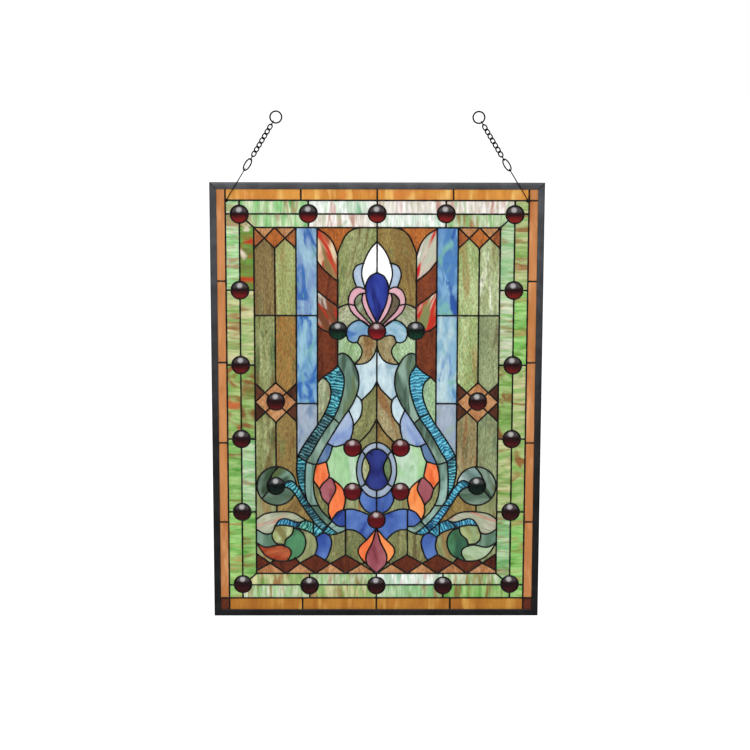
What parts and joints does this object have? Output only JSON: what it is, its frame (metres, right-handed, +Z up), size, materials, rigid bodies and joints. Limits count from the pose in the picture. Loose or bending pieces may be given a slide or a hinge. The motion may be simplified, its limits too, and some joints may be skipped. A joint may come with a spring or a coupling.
{
  "type": "stained glass window",
  "caption": "Hanging leaded glass panel with a fleur, scrolls and domed jewels in a metal channel frame, on two short chains ending in rings.",
  "frame": {"origin": "midway between the centres of the two end rings that the window hangs from, on the panel's middle plane", "axes": "+Z up, front of the window faces -Y, +X to the viewer's right"},
  "size_m": [0.457, 0.0109, 0.7066],
  "materials": {
    "frame_patina": "dark grey patina, satin",
    "solder": "blackened solder, satin",
    "black_iron": "black, satin",
    "glass_amber": "streaky opalescent",
    "glass_green": "streaky opalescent",
    "glass_olive": "granular",
    "glass_blue": "mottled opalescent",
    "glass_mixed": "many colours, opalescent",
    "jewel_garnet": "polished",
    "jewel_green": "polished",
    "jewel_red": "polished"
  },
  "bodies": {
    "root": {"amber_border_bottom": "glass_amber", "amber_border_left": "glass_amber", "amber_border_right": "glass_amber", "amber_border_top": "glass_amber", "centre_glass": "glass_mixed", "chain_left": "black_iron", "chain_right": "black_iron", "clasp_left": "black_iron", "clasp_right": "black_iron", "column_glass_left": "glass_blue", "column_glass_right": "glass_blue", "end_ring_left": "black_iron", "end_ring_right": "black_iron", "frame_bottom": "frame_patina", "frame_left": "frame_patina", "frame_right": "frame_patina", "frame_top": "frame_patina", "green_border_bottom": "glass_green", "green_border_left": "glass_green", "green_border_right": "glass_green", "green_border_top": "glass_green", "jewel_darkgreen_1": "jewel_green", "jewel_darkgreen_2": "jewel_green", "jewel_darkgreen_3": "jewel_green", "jewel_darkgreen_4": "jewel_green", "jewel_darkred_1": "jewel_garnet", "jewel_darkred_10": "jewel_garnet", "jewel_darkred_11": "jewel_garnet", "jewel_darkred_12": "jewel_garnet", "jewel_darkred_13": "jewel_garnet", "jewel_darkred_14": "jewel_garnet", "jewel_darkred_15": "jewel_garnet", "jewel_darkred_16": "jewel_garnet", "jewel_darkred_17": "jewel_garnet", "jewel_darkred_18": "jewel_garnet", "jewel_darkred_19": "jewel_garnet", "jewel_darkred_2": "jewel_garnet", "jewel_darkred_20": "jewel_garnet", "jewel_darkred_3": "jewel_garnet", "jewel_darkred_4": "jewel_garnet", "jewel_darkred_5": "jewel_garnet", "jewel_darkred_6": "jewel_garnet", "jewel_darkred_7": "jewel_garnet", "jewel_darkred_8": "jewel_garnet", "jewel_darkred_9": "jewel_garnet", "jewel_red_1": "jewel_red", "jewel_red_2": "jewel_red", "jewel_red_3": "jewel_red", "jewel_red_4": "jewel_red", "jewel_red_5": "jewel_red", "jewel_red_6": "jewel_red", "leadwork": "solder", "side_glass_left": "glass_olive", "side_glass_right": "glass_olive", "wire_loop_left": "black_iron", "wire_loop_right": "black_iron"}
  },
  "joints": []
}
